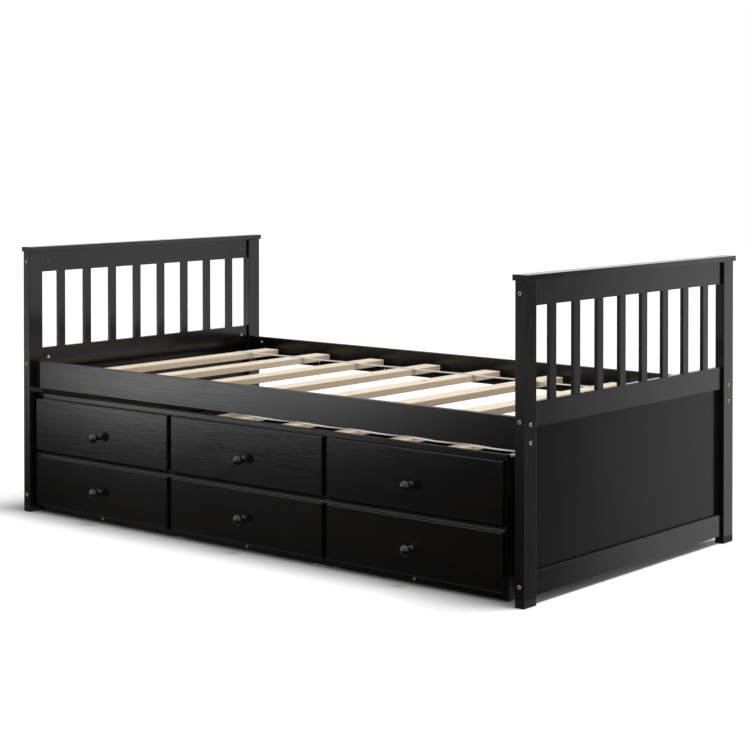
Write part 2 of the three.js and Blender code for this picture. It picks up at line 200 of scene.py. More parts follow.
def lacquer(name, along, seed, roughness=(0.17, 0.22), relief=0.3, dull_top=False, spindles=None):
    """Satin espresso lacquer on wood. Its grain runs along an axis, or upright between spindle heights."""
    s = Shader(name)
    offset = (seed * 1.37, seed * 2.11, seed * 0.73)
    figure, pores = wood_grain(s, along, offset)
    if spindles:
        upright_figure, upright_pores = wood_grain(s, "Z", offset)
        height = s.node("SeparateXYZ", {"Vector": s.place()}).outputs["Z"]
        above = s.math("GREATER_THAN", height, spindles[0])
        below = s.math("LESS_THAN", height, spindles[1])
        upright = s.math("MULTIPLY", above, below)
        figure = s.mix_value(upright, figure, upright_figure)
        pores = s.mix_value(upright, pores, upright_pores)
    smudge = s.noise(s.place(), 7.0, 3.0)
    tint = s.math("MULTIPLY", s.remap(figure, 0.38, 0.68), s.remap(pores, 0.0, 1.0, 0.55, 1.0))
    base = s.mix(tint, LACQUER_DEEP, LACQUER_WARM)
    base = s.mix(edge_rub(s, 1.6 * MM, 0.55), base, LACQUER_RUBBED)
    flow = s.noise(s.place(), 240.0, 2.0)
    shine = s.mix_value(smudge, roughness[0], roughness[1])
    shine = s.math("ADD", shine, s.math("MULTIPLY", pores, -0.03))
    if dull_top:
        true = s.node("NewGeometry", {}).outputs["Normal"]
        facing_up = s.node("SeparateXYZ", {"Vector": true}).outputs["Z"]
        shine = s.math("ADD", shine, s.math("MULTIPLY", s.remap(facing_up, 0.3, 0.9), 0.4))
    normal = s.bump(flow, 0.03 * MM, 0.5 * relief)
    normal = s.bump(figure, 0.20 * MM, 0.5 * relief, normal)
    normal = s.bump(pores, 0.05 * MM, 0.6 * relief, normal)
    return s.set(Base_Color=base, Roughness=shine, Normal=normal)


def painted_board(name, seed):
    """The same lacquer sprayed on fibreboard: no grain, a faint orange peel."""
    s = Shader(name)
    place = s.stretched(s.place(), (1, 1, 1), (seed * 0.9, seed * 1.7, 0))
    cloud = s.noise(place, 3.0, 4.0)
    peel = s.noise(place, 330.0, 2.0)
    base = s.mix(s.remap(cloud, 0.35, 0.7), LACQUER_DEEP, LACQUER_WARM)
    base = s.mix(edge_rub(s, 1.2 * MM, 0.4), base, LACQUER_RUBBED)
    normal = s.bump(peel, 0.035 * MM, 0.6)
    s.set(Specular_IOR_Level=0.175)
    return s.set(Base_Color=base, Roughness=s.mix_value(cloud, 0.14, 0.20), Normal=normal)


def gloss_lacquer(name):
    """Thick polished lacquer on a turned knob."""
    s = Shader(name)
    cloud = s.noise(s.place(), 60.0, 3.0)
    turning = s.noise(s.stretched(s.place(), (10, 900, 10)), 1.0, 1.0)
    base = s.mix(cloud, rgb(0.0030, 0.0026, 0.0023), rgb(0.0065, 0.0052, 0.0042))
    normal = s.bump(turning, 0.02 * MM, 0.35)
    s.set(Coat_Weight=1.0, Coat_Roughness=0.06)
    return s.set(Base_Color=base, Roughness=s.mix_value(cloud, 0.16, 0.26), Normal=normal)


PINE_PALE, PINE_TAN = rgb(0.74, 0.645, 0.50), rgb(0.67, 0.57, 0.43)  # each slat is between the two
PINE_LATE_WOOD = rgb(0.58, 0.42, 0.26)
PINE_FIBRE = rgb(0.52, 0.41, 0.28)
PINE_KNOT, PINE_ROUND_KNOT = rgb(0.16, 0.075, 0.03), rgb(0.60, 0.36, 0.16)
PINE_GRIME = rgb(0.50, 0.38, 0.24)
RING_WIDTH = 3.6 * MM
CLEAR_SHARE = 0.86  # of the cells that could hold a knot and don't


def pine(name, first, pitch, top):
    """Sanded pine slats along Y. first and pitch say where each slat is, so that each has its own rings."""
    s = Shader(name)
    place = s.place()
    split = s.node("SeparateXYZ", {"Vector": place})
    x, y, z = (split.outputs[axis] for axis in "XYZ")
    slat_number = s.math("ROUND", s.math("DIVIDE", s.math("SUBTRACT", x, first), pitch))
    seed = s.node("TexWhiteNoise", {"W": slat_number}, noise_dimensions="1D")
    pick = s.node("SeparateColor", {"Color": seed.outputs["Color"]})
    pick_a, pick_b, pick_c = (pick.outputs[c] for c in ("Red", "Green", "Blue"))
    from_centre = s.math("SUBTRACT", s.math("SUBTRACT", x, first), s.math("MULTIPLY", slat_number, pitch))

    drift_at = s.node("CombineXYZ", {"X": s.math("MULTIPLY", slat_number, 7.3), "Y": y, "Z": 0.0}).outputs[0]
    drift = s.math("SUBTRACT", s.noise(drift_at, 1.7, 2.0, 0.45), 0.5)
    pith_at = s.math("MULTIPLY", s.math("SUBTRACT", pick_a, 0.5), 0.05)
    pith_x = s.math("ADD", pith_at, s.math("MULTIPLY", drift, 0.05))
    pith_z = s.math("ADD", s.remap(pick_b, 0.0, 1.0, 0.022, 0.060), s.math("MULTIPLY", drift, 0.07))
    off_x = s.math("SUBTRACT", from_centre, pith_x)
    off_z = s.math("ADD", s.math("SUBTRACT", z, top), pith_z)
    radius = s.math("SQRT", s.math("ADD", s.math("POWER", off_x, 2.0), s.math("POWER", off_z, 2.0)))
    wobble = s.noise(s.stretched(place, (26, 3.0, 26)), 1.0, 3.0)
    ring_count = s.math("DIVIDE", radius, RING_WIDTH)
    rings = s.math("FRACT", s.math("ADD", ring_count, s.math("MULTIPLY", wobble, 1.5)))
    late = s.math("MULTIPLY", s.remap(rings, 0.30, 0.92), s.remap(rings, 1.0, 0.93))

    across, along = s.math("MULTIPLY", x, 13.0), s.math("MULTIPLY", y, 9.0)
    knot_at = s.node("CombineXYZ", {"X": across, "Y": along, "Z": 0.0})
    cell = s.node("TexVoronoi", {"Vector": knot_at.outputs[0], "Scale": 1.0})
    lot = s.node("SeparateColor", {"Color": cell.outputs["Color"]}).outputs["Red"]
    rare = s.math("GREATER_THAN", lot, CLEAR_SHARE)
    knot = s.math("MULTIPLY", s.remap(cell.outputs["Distance"], 0.11, 0.04), rare)
    halo = s.math("MULTIPLY", s.remap(cell.outputs["Distance"], 0.30, 0.06), rare)

    fibre = s.noise(s.stretched(place, (900, 14, 900)), 1.0, 2.0, 0.6)
    light = s.mix(pick_c, PINE_PALE, PINE_TAN)
    wood = s.mix(s.math("MULTIPLY", late, 0.55), light, PINE_LATE_WOOD)
    wood = s.mix(s.math("MULTIPLY", s.remap(fibre, 0.45, 0.8), 0.25), wood, PINE_FIBRE)
    wood = s.mix(s.math("MULTIPLY", halo, 0.45), wood, PINE_ROUND_KNOT)
    wood = s.mix(s.math("MULTIPLY", knot, 0.9), wood, PINE_KNOT)
    grime = s.remap(s.noise(place, 9.0, 4.0), 0.5, 0.8)
    wood = s.mix(s.math("MULTIPLY", grime, 0.10), wood, PINE_GRIME)
    normal = s.bump(fibre, 0.05 * MM, 0.6)
    normal = s.bump(late, 0.04 * MM, 0.5, normal)
    roughness = s.mix_value(late, 0.62, 0.5)
    s.set(Specular_IOR_Level=0.35)
    return s.set(Base_Color=wood, Roughness=roughness, Normal=normal)


TAPE_DARK, TAPE_LIGHT = rgb(0.46, 0.455, 0.44), rgb(0.64, 0.635, 0.62)
TAPE_GRIME = rgb(0.62, 0.58, 0.5)


def webbing(name):
    """Woven white tape: ribs across it and a finer weave along it."""
    s = Shader(name)
    place = s.place()
    warp = s.node("TexWave", {"Vector": place, "Scale": 260.0}, bands_direction="Y").outputs["Fac"]
    weft = s.node("TexWave", {"Vector": place, "Scale": 170.0}, bands_direction="X").outputs["Fac"]
    weave = s.math("MULTIPLY", warp, weft)
    fuzz = s.noise(place, 1500.0, 2.0)
    base = s.mix(weave, TAPE_DARK, TAPE_LIGHT)
    grime = s.remap(s.noise(place, 14.0, 3.0), 0.5, 0.8)
    base = s.mix(s.math("MULTIPLY", grime, 0.2), base, TAPE_GRIME)
    normal = s.bump(weave, 0.25 * MM, 0.8)
    normal = s.bump(fuzz, 0.05 * MM, 0.4, normal)
    s.set(Sheen_Weight=0.3, Sheen_Roughness=0.5)
    return s.set(Base_Color=base, Roughness=s.mix_value(fuzz, 0.75, 0.95), Normal=normal)


def metal(name, light, dark, roughness):
    """Plated steel with a fine mottle and faint scratches."""
    s = Shader(name)
    place = s.place()
    mottle = s.noise(place, 420.0, 3.0)
    scratch = s.noise(s.stretched(place, (300, 2600, 900)), 1.0, 1.0)
    base = s.mix(mottle, dark, light)
    normal = s.bump(scratch, 0.02 * MM, 0.4)
    shine = s.mix_value(mottle, roughness[0], roughness[1])
    return s.set(Metallic=0.72, Base_Color=base, Roughness=shine, Normal=normal)


def black_plastic(name, roughness):
    """Moulded plastic with a fine spark texture and patches of dust."""
    s = Shader(name)
    place = s.place()
    spark = s.noise(place, 1400.0, 2.0)
    dust = s.remap(s.noise(place, 30.0, 4.0), 0.5, 0.85)
    base = s.mix(s.math("MULTIPLY", dust, 0.05), rgb(0.0035, 0.0035, 0.0037), rgb(0.06, 0.057, 0.054))
    normal = s.bump(spark, 0.03 * MM, 0.6)
    s.set(Specular_IOR_Level=0.25)
    return s.set(Base_Color=base, Roughness=s.mix_value(spark, *roughness), Normal=normal)


def matt_white(name):
    """The studio's paper floor."""
    s = Shader(name)
    fibre = s.noise(s.place(), 300.0, 3.0)
    base = s.mix(fibre, rgb(0.86, 0.86, 0.86), rgb(0.90, 0.90, 0.90))
    return s.set(Base_Color=base, Roughness=1.0, Specular_IOR_Level=0.0)


# ----------------------------------------------------------------------------------------------------
# Mesh helpers
# ----------------------------------------------------------------------------------------------------


def add_piece(name, mesh, material, body):
    """A mesh as a piece of the object that rides on a body."""
    mesh.materials.append(material)
    piece = bpy.data.objects.new(name, mesh)
    bpy.context.scene.collection.objects.link(piece)
    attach(piece, body)
    return piece


def mesh_from(name, bm):
    bmesh.ops.recalc_face_normals(bm, faces=bm.faces)
    mesh = bpy.data.meshes.new(name)
    bm.to_mesh(mesh)
    bm.free()
    mesh.shade_smooth()
    return mesh


def add_box(bm, low, high, round_over, segments=2):
    """A board between two corners with its edges rounded over."""
    made = bmesh.ops.create_cube(bm, size=1.0)
    low, high = Vector(low), Vector(high)
    size = high - low
    matrix = Matrix.Translation((low + high) / 2) @ Matrix.Diagonal((*size, 1.0))
    bmesh.ops.transform(bm, matrix=matrix, verts=made["verts"])
    edges = list({e for v in made["verts"] for e in v.link_edges})
    bmesh.ops.bevel(bm, geom=edges, offset=round_over, segments=segments, profile=0.5, affect="EDGES")


def add_lathe(bm, profile, steps, matrix):
    """A surface turned about Z from (radius, height) points, then moved. Points on the axis close it."""
    turns = [2 * math.pi * i / steps for i in range(steps)]
    rings = []
    for radius, height in profile:
        if radius < 1e-7:
            rings.append([bm.verts.new(matrix @ Vector((0, 0, height)))])
            continue
        around = [Vector((radius * math.cos(a), radius * math.sin(a), height)) for a in turns]
        rings.append([bm.verts.new(matrix @ point) for point in around])
    for low, high in zip(rings, rings[1:]):
        for i in range(steps):
            j = (i + 1) % steps
            if len(low) == 1:
                bm.faces.new((low[0], high[j], high[i]))
            elif len(high) == 1:
                bm.faces.new((low[i], low[j], high[0]))
            else:
                bm.faces.new((low[i], low[j], high[j], high[i]))
    return rings


def bridge(bm, rings):
    """Quads between rings of as many vertices each, in a tube, and a face over each end of it."""
    for a, b in zip(rings, rings[1:]):
        for i in range(len(a)):
            j = (i + 1) % len(a)
            bm.faces.new((a[i], a[j], b[j], b[i]))
    bm.faces.new(rings[0])
    bm.faces.new(list(reversed(rings[-1])))


def facing(normal, place):
    """Moves a shape built about +Z so that it stands on a face at a place."""
    return Matrix.Translation(place) @ Vector(normal).to_track_quat("Z", "Y").to_matrix().to_4x4()


def ease_group():
    """Geometry nodes that weld a CAD mesh's split corners and shade it smooth, ready for its bevel."""
    group = bpy.data.node_groups.new("weld_and_smooth", "GeometryNodeTree")
    group.interface.new_socket("Geometry", in_out="INPUT", socket_type="NodeSocketGeometry")
    group.interface.new_socket("Geometry", in_out="OUTPUT", socket_type="NodeSocketGeometry")
    start, end = group.nodes.new("NodeGroupInput"), group.nodes.new("NodeGroupOutput")
    weld = group.nodes.new("GeometryNodeMergeByDistance")
    weld.inputs["Distance"].default_value = 0.005 * MM
    smooth = group.nodes.new("GeometryNodeSetShadeSmooth")
    group.links.new(start.outputs[0], weld.inputs[0])
    group.links.new(weld.outputs[0], smooth.inputs[0])
    group.links.new(smooth.outputs[0], end.inputs[0])
    return group


WELD = ease_group()


def ease_edges(node, round_over, segments=2, material=None):
    """Rounds a CAD node's edges with modifiers, and gives it its finish."""
    piece = nodes[node]
    piece.modifiers.new("weld", "NODES").node_group = WELD
    flat = piece.modifiers.new("dissolve", "DECIMATE")
    flat.decimate_type = "DISSOLVE"
    flat.angle_limit = math.radians(0.5)
    bevel = piece.modifiers.new("ease", "BEVEL")
    bevel.width = round_over
    bevel.segments = segments
    bevel.limit_method = "ANGLE"
    bevel.angle_limit = math.radians(20)
    shade = piece.modifiers.new("shade", "WEIGHTED_NORMAL")
    shade.keep_sharp = False
    shade.weight = 90
    if material:
        piece.material_slots[0].material = material


# ----------------------------------------------------------------------------------------------------
# Wooden parts that keep their CAD shape
# ----------------------------------------------------------------------------------------------------


# Where the grain turns upright in a grille: above its middle rail and below its upper one.
SPINDLES_START = 66 * MM
SPINDLES_END = 67 * MM


def finish_boards():
    low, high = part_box("head_grille")
    rails_y = lacquer("lacquer_across", "Y", 1, roughness=(0.12, 0.17))
    rails_x = lacquer("lacquer_along", "X", 2, roughness=(0.11, 0.15), dull_top=True)
    rails_back = lacquer("lacquer_back", "X", 8, roughness=(0.24, 0.30), dull_top=True)
    uprights = lacquer("lacquer_upright", "Z", 3, roughness=(0.13, 0.18))
    spindles = (low.z + SPINDLES_START, high.z - SPINDLES_END)
    grille = lacquer("lacquer_grille", "Y", 4, spindles=spindles)
    front = lacquer("lacquer_fronts", "X", 5, roughness=(0.08, 0.12), relief=0.35)
    panel = painted_board("lacquer_panel", 6)
    carcass = painted_board("lacquer_carcass", 7)

    finishes = {  # each with how far its edges are rounded over
        "post": (uprights, 1.5 * MM),
        "cap": (rails_y, 1.0 * MM),
        "grille": (grille, 1.2 * MM),
        "bottom_rail": (rails_y, 1.2 * MM),
        "panel": (panel, 0.6 * MM),
    }
    for end, _ in ENDS:
        for part, (material, round_over) in finishes.items():
            for node in [n for n in nodes if n.startswith(f"{end}_{part}")]:
                ease_edges(node, round_over, 3, material)
    for side, material in (("front", rails_x), ("back", rails_back)):
        ease_edges(f"side_rail_{side}", 0.8 * MM, 3, material)
        ease_edges(f"slat_ledge_{side}", 1.0 * MM, 2, material)
    for node in ("trundle_face", "trundle_back_rail"):
        ease_edges(node, 1.0 * MM, 2, rails_x)
    ease_edges("trundle_moulding", 0.3 * MM, 2, rails_x)
    for node in ("trundle_end_left", "trundle_end_right", "drawer_carcass"):
        ease_edges(node, 0.8 * MM, 2, carcass)
    for column in COLUMNS:
        ease_edges(f"upper_front_{column}", 0.6 * MM, 3, front)
        ease_edges(f"drawer_front_{column}", 0.6 * MM, 3, front)

    plastic = black_plastic("glide_plastic", (0.35, 0.5))
    for glide in [n for n in nodes if "_glide_" in n]:
        ease_edges(glide, 1.0 * MM, 2, plastic)


# ----------------------------------------------------------------------------------------------------
# Knobs
# ----------------------------------------------------------------------------------------------------

# The turned profile, as shares of the head's radius and of the projection.
KNOB_PROFILE = [
    (0.00, 0.0), (0.64, 0.0), (0.655, 0.02), (0.65, 0.05), (0.60, 0.075), (0.53, 0.10), (0.475, 0.15),
    (0.455, 0.22), (0.455, 0.30), (0.465, 0.37), (0.50, 0.44), (0.57, 0.495), (0.68, 0.54), (0.80, 0.58),
    (0.90, 0.625), (0.965, 0.67), (0.995, 0.72), (1.00, 0.76), (0.985, 0.805), (0.94, 0.85), (0.86, 0.895),
    (0.74, 0.935), (0.58, 0.965), (0.40, 0.985), (0.20, 0.997), (0.00, 1.0),
]


def add_knobs():
    finish = gloss_lacquer("knob_lacquer")
    for column in COLUMNS:
        for node in (f"upper_knob_{column}", f"drawer_knob_{column}"):
            low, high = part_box(node)
            radius, reach = (high.x - low.x) / 2, high.y - low.y
            foot = Vector(((low.x + high.x) / 2, high.y, (low.z + high.z) / 2))
            bm = bmesh.new()
            add_lathe(bm, [(r * radius, h * reach) for r, h in KNOB_PROFILE], 48, facing(-Y, foot))
            name = f"turned_{node}"
            piece = add_piece(name, mesh_from(name, bm), finish, body_of_node[node])
            piece.modifiers.new("smooth", "SUBSURF").render_levels = 1
            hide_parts(node)


# ----------------------------------------------------------------------------------------------------
# Bolts, barrel nuts and screws
# ----------------------------------------------------------------------------------------------------


def add_hex_bolt(bm, matrix, radius=5.6 * MM, height=1.5 * MM, socket=3.0 * MM):
    """A low domed bolt head with a hexagonal socket. The socket's floor and walls get the second material:
    painted shade.
    """
    steps = 36
    shares = [(0.97, 0), (1, 0.25), (0.97, 0.62), (0.86, 0.88), (0.72, 1)]
    rings = add_lathe(bm, [(radius * r, height * h) for r, h in shares], steps, matrix)
    corner = socket / math.cos(math.pi / 6)

    def hexagon(size, z):
        ring = []
        for i in range(steps):
            angle = 2 * math.pi * i / steps
            within = (angle + math.pi / 6) % (math.pi / 3) - math.pi / 6
            reach = size * math.cos(math.pi / 6) / math.cos(within)
            point = Vector((reach * math.cos(angle), reach * math.sin(angle), z))
            ring.append(bm.verts.new(matrix @ point))
        return ring

    chamfer = 0.15 * MM
    mouth = [hexagon(corner * 1.12, height), hexagon(corner, height - chamfer)]
    levels = [rings[-1], *mouth, hexagon(corner, chamfer)]
    for k, (outer, inner) in enumerate(zip(levels, levels[1:])):
        for i in range(steps):
            j = (i + 1) % steps
            face = bm.faces.new((outer[i], outer[j], inner[j], inner[i]))
            face.material_index = 1 if k == 2 else 0
    floor = bm.faces.new(levels[-1])
    floor.material_index = 1


def add_small_hex_bolt(bm, matrix):
    add_hex_bolt(bm, matrix, 4.2 * MM, 1.3 * MM, 2.2 * MM)


def add_slotted_nut(bm, matrix, radius=5.0 * MM, height=0.6 * MM):
    """The end of a barrel nut, flush in its hole, with a screwdriver slot."""
    profile = [(radius, 0), (radius, height * 0.6), (radius * 0.93, height)]
    rings = add_lathe(bm, profile, 32, matrix)
    top = bm.faces.new(rings[-1])
    bmesh.ops.inset_region(bm, faces=[top], thickness=0.3 * MM, depth=-0.15 * MM)
    length, half = radius * 0.72, 0.7 * MM
    # the slot is a near-black box in the second material: painted shade for the dark in the slot
    add_box_at(bm, matrix, (-length, -half, height * 0.35), (length, half, height + 0.02 * MM), 1)


def add_box_at(bm, matrix, low, high, material_index=0):
    """A plain sharp box, such as the floor of a slot, built about a fitting's own axes."""
    corners = [(x, y, z) for z in (low[2], high[2]) for y in (low[1], high[1]) for x in (low[0], high[0])]
    verts = [bm.verts.new(matrix @ Vector(corner)) for corner in corners]
    quads = [(0, 2, 3, 1), (4, 5, 7, 6), (0, 1, 5, 4), (2, 6, 7, 3), (0, 4, 6, 2), (1, 3, 7, 5)]
    for quad in quads:
        bm.faces.new([verts[i] for i in quad]).material_index = material_index


def add_cross_screw(bm, matrix, radius=3.6 * MM, height=0.7 * MM):
    """A pan-head screw with a cross recess, drawn as two thin near-black boxes on the head: painted shade."""
    shares = [(1, 0), (0.98, 0.35), (0.85, 0.75), (0.55, 0.97), (0, 1)]
    add_lathe(bm, [(radius * r, height * h) for r, h in shares], 28, matrix)
    arm, half = radius * 0.55, radius * 0.13
    for low, high in (((-arm, -half), (arm, half)), ((-half, -arm), (half, arm))):
        add_box_at(bm, matrix, (*low, height * 0.9), (*high, height * 1.05), 1)


def add_hardware(name, body, places, make, finish, recess):
    """One piece of many alike fittings. places are (outward direction, point) pairs. recess is near-black
    painted shade.
    """
    bm = bmesh.new()
    for normal, point in places:
        make(bm, facing(normal, point))
    mesh = mesh_from(name, bm)
    piece = add_piece(name, mesh, finish, body)
    mesh.materials.append(recess)
    return piece


# Where the fittings are, from the edges of the boards that they hold.
UPPER_BOLT_DROP = 33 * MM  # below a grille's top
MIDDLE_BOLT_RISE = 17 * MM  # above a grille's foot
LOWER_NUT_RISE = 34 * MM  # above a grille's foot
GRILLE_NUT_REACH = 31 * MM  # in from a post's inner face
RAIL_NUT_REACH = 52 * MM  # in from a side rail's end
SIDE_RAIL_BOLTS = (474 * MM, 426 * MM)  # heights
LEDGE_SCREW_COUNT, LEDGE_SCREW_MARGIN = 7, 70 * MM


def end_board_fittings():
    """Bolts through the posts into the grilles and side rails, and the barrel nuts that they turn in."""
    bolts, nuts = [], []
    for end, inward in ENDS:
        grille_low, grille_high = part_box(f"{end}_grille")
        rail_low, rail_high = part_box(f"{end}_bottom_rail")
        upper = grille_high.z - UPPER_BOLT_DROP
        middle = grille_low.z + MIDDLE_BOLT_RISE
        bottom = (rail_low.z + rail_high.z) / 2
        nut_x = grille_high.x if inward > 0 else grille_low.x
        for side, outward in SIDES:
            low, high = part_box(f"{end}_post_{side}")
            centre = (low + high) / 2
            outer_y, inner_y = (low.y, high.y) if outward < 0 else (high.y, low.y)
            for z in (upper, middle, bottom):
                bolts.append((outward * Y, Vector((centre.x, outer_y, z))))
            outer_x = low.x if inward > 0 else high.x
            for z in SIDE_RAIL_BOLTS:
                bolts.append((-inward * X, Vector((outer_x, centre.y, z))))
            for z in (upper, grille_low.z + LOWER_NUT_RISE):
                nuts.append((inward * X, Vector((nut_x, inner_y - outward * GRILLE_NUT_REACH, z))))
            rail_low_corner, rail_high_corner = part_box(f"side_rail_{side}")
            rail_y = rail_high_corner.y if outward < 0 else rail_low_corner.y
            rail_end = rail_low_corner.x if inward > 0 else rail_high_corner.x
            nut = Vector((rail_end + inward * RAIL_NUT_REACH, rail_y, SIDE_RAIL_BOLTS[0]))
            nuts.append((-outward * Y, nut))
    return bolts, nuts


def face_screws():
    """One screw under the middle of each drawer front."""
    low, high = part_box("trundle_face")
    screws = []
    for column in COLUMNS:
        front_low, front_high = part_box(f"drawer_front_{column}")
        centre_x = (front_low.x + front_high.x) / 2
        screws.append((-Y, Vector((centre_x, low.y, (low.z + front_low.z) / 2))))
    return screws


def ledge_screws():
    screws = []
    for side, outward in SIDES:
        low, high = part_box(f"slat_ledge_{side}")
        face_y = high.y if outward < 0 else low.y
        first = low.x + LEDGE_SCREW_MARGIN
        pitch = (high.x - low.x - 2 * LEDGE_SCREW_MARGIN) / (LEDGE_SCREW_COUNT - 1)
        for i in range(LEDGE_SCREW_COUNT):
            screws.append((-outward * Y, Vector((first + i * pitch, face_y, (low.z + high.z) / 2))))
    return screws


def add_fittings(zinc, recess):
    brass = metal("passivated_zinc", rgb(0.74, 0.66, 0.50), rgb(0.52, 0.45, 0.33), (0.24, 0.38))
    bolts, nuts = end_board_fittings()
    add_hardware("end_board_bolts", "bed", bolts, add_hex_bolt, brass, recess)
    add_hardware("barrel_nuts", "bed", nuts, add_slotted_nut, zinc, recess)
    add_hardware("face_screws", "trundle", face_screws(), add_small_hex_bolt, brass, recess)
    add_hardware("ledge_screws", "bed", ledge_screws(), add_cross_screw, zinc, recess)


# ----------------------------------------------------------------------------------------------------
# Slats, ribbons and staples
# ----------------------------------------------------------------------------------------------------


RIBBON_WIDTH, RIBBON_THICKNESS, RIBBON_RIM = 22 * MM, 1.2 * MM, 0.5 * MM
RIBBON_SAG = 1.4 * MM
BED_SLAT_COUNT = 8

# The trundle's slats. The one at the head end lies beside the first of a row with an even pitch.
MAT_SLAT_WIDTH, MAT_SLAT_THICKNESS = 64 * MM, 16 * MM
MAT_ROW_COUNT, MAT_PITCH = 8, 243.5 * MM
MAT_RIBBON_INSET = 100 * MM


def ribbon_sections(stops, top, rng):
    """(x, z, lean) along a strap that lies flat on each [left, right] stop and sags between them."""
    flat_steps, free_steps = 4, 14
    sections = []
    for k, (left, right) in enumerate(stops):
        for i in range(flat_steps + 1):
            sections.append((left + (right - left) * i / flat_steps, top, 0.0))
        if k + 1 < len(stops):
            gap = stops[k + 1][0] - right
            dip = RIBBON_SAG * (0.7 + 0.6 * rng.random())
            lean = (rng.random() - 0.5) * 0.5
            for i in range(1, free_steps):
                t = i / free_steps
                bow = math.sin(math.pi * t)
                sections.append((right + gap * t, top - dip * bow**1.3, lean * bow))
    return sections


def add_ribbon(bm, stops, centre_y, top, rng):
    """A strap over slats, with its rims a little thinner than its middle."""
    half, rim = RIBBON_WIDTH / 2, RIBBON_WIDTH / 2 - RIBBON_RIM
    underside = [(-half, 0.25), (-rim, 0), (rim, 0), (half, 0.25)]
    outline = underside + [(half, 0.75), (rim, 1), (0, 1), (-rim, 1), (-half, 0.75)]
    rings = []
    for x, z, lean in ribbon_sections(stops, top, rng):
        ring = []
        for y, share in outline:
            tilt = math.radians(2.0) * lean
            height = z + RIBBON_THICKNESS * share + y * tilt
            ring.append(bm.verts.new((x, centre_y + y + lean * 0.8 * MM, height)))
        rings.append(ring)
    bridge(bm, rings)


def add_staple(bm, centre, turn):
    """The crown of a staple pressed into a ribbon: a round wire with its ends bent down."""
    half, wire, steps = 4.75 * MM, 0.55 * MM, 8
    bend = [(half, -1.0 * MM), (half - 0.15 * MM, -0.1 * MM), (half - 0.8 * MM, 0.32 * MM)]
    path = [(-x, z) for x, z in bend] + [(0, 0.38 * MM)] + bend[::-1]
    spin = Matrix.Translation(centre) @ Matrix.Rotation(turn, 4, "Z")
    rings = []
    for k, (x, z) in enumerate(path):
        before, after = path[max(k - 1, 0)], path[min(k + 1, len(path) - 1)]
        along = Vector((after[0] - before[0], 0, after[1] - before[1])).normalized()
        up = Y.cross(along)
        ring = []
        for i in range(steps):
            angle = 2 * math.pi * i / steps
            offset = wire * (math.cos(angle) * Y + math.sin(angle) * up)
            ring.append(bm.verts.new(spin @ (Vector((x, 0, z)) + offset)))
        rings.append(ring)
    bridge(bm, rings)


STAPLE_SHARES = (0.3, 0.7)  # where each slat's two staples are across it


def add_ribbons(prefix, body, spans, rows, top, cloth, zinc, rng):
    """Ribbons over a row of slats, stapled twice to each slat. rows are (name, y, replaced node) triples."""
    for row, y, replaced in rows:
        bm = bmesh.new()
        add_ribbon(bm, spans, y, top, rng)
        name = f"{prefix}_ribbon_{row}"
        piece = add_piece(name, mesh_from(name, bm), cloth, body)
        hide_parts(replaced)
        bm = bmesh.new()
        for left, right in spans:
            for share in STAPLE_SHARES:
                jitter = (rng.random() - 0.5) * 3 * MM
                x = left + (right - left) * share + jitter
                centre = Vector((x, y + (rng.random() - 0.5) * 5 * MM, top + RIBBON_THICKNESS))
                add_staple(bm, centre, math.radians(90 + (rng.random() - 0.5) * 24))
        name = f"{prefix}_staples_{row}"
        add_piece(name, mesh_from(name, bm), zinc, body)


def add_slats(zinc):
    rng = random.Random(5)
    cloth = webbing("webbing")
    add_bed_slats(cloth, zinc, rng)
    add_trundle_slats(cloth, zinc, rng)


def add_bed_slats(cloth, zinc, rng):
    names = [f"bed_slat_{i + 1}" for i in range(BED_SLAT_COUNT)]
    boxes = [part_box(name) for name in names]
    spans = [(low.x, high.x) for low, high in boxes]
    first, last = sum(spans[0]) / 2, sum(spans[-1]) / 2
    top = boxes[0][1].z
    wood = pine("pine_bed", first, (last - first) / (BED_SLAT_COUNT - 1), top)
    for name in names:
        ease_edges(name, 1.6 * MM, 3, wood)
    rows = []
    for row, _ in SIDES:
        ribbon = f"slat_ribbon_{row}"
        low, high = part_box(ribbon)
        rows.append((row, (low.y + high.y) / 2, ribbon))
    add_ribbons("bed", "bed", spans, rows, top, cloth, zinc, rng)


def add_trundle_slats(cloth, zinc, rng):
    mat = "trundle_slat_mat"
    low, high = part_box(mat)
    top = low.z + MAT_SLAT_THICKNESS
    right_edges = [low.x + MAT_SLAT_WIDTH]
    for i in reversed(range(MAT_ROW_COUNT)):
        right_edges.append(high.x - i * MAT_PITCH)
    spans = [(right - MAT_SLAT_WIDTH, right) for right in right_edges]
    bm = bmesh.new()
    for left, right in spans:
        add_box(bm, (left, low.y, low.z), (right, high.y, top), 1.6 * MM, 3)
    wood = pine("pine_trundle", sum(spans[1]) / 2, MAT_PITCH, top)
    slats = add_piece("trundle_slats", mesh_from("trundle_slats", bm), wood, "trundle")
    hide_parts(mat)
    rows = [("front", low.y + MAT_RIBBON_INSET, mat), ("back", high.y - MAT_RIBBON_INSET, mat)]
    add_ribbons("trundle", "trundle", spans, rows, top, cloth, zinc, rng)


# ----------------------------------------------------------------------------------------------------
# Drawer boxes
# ----------------------------------------------------------------------------------------------------


DRAWER_WALL, DRAWER_BOTTOM = 12 * MM, 6 * MM
DRAWER_GROOVE = 4 * MM  # in each wall, for the bottom's edges
DRAWER_SCREW_INSET = 30 * MM  # from a wall's lower and upper edge


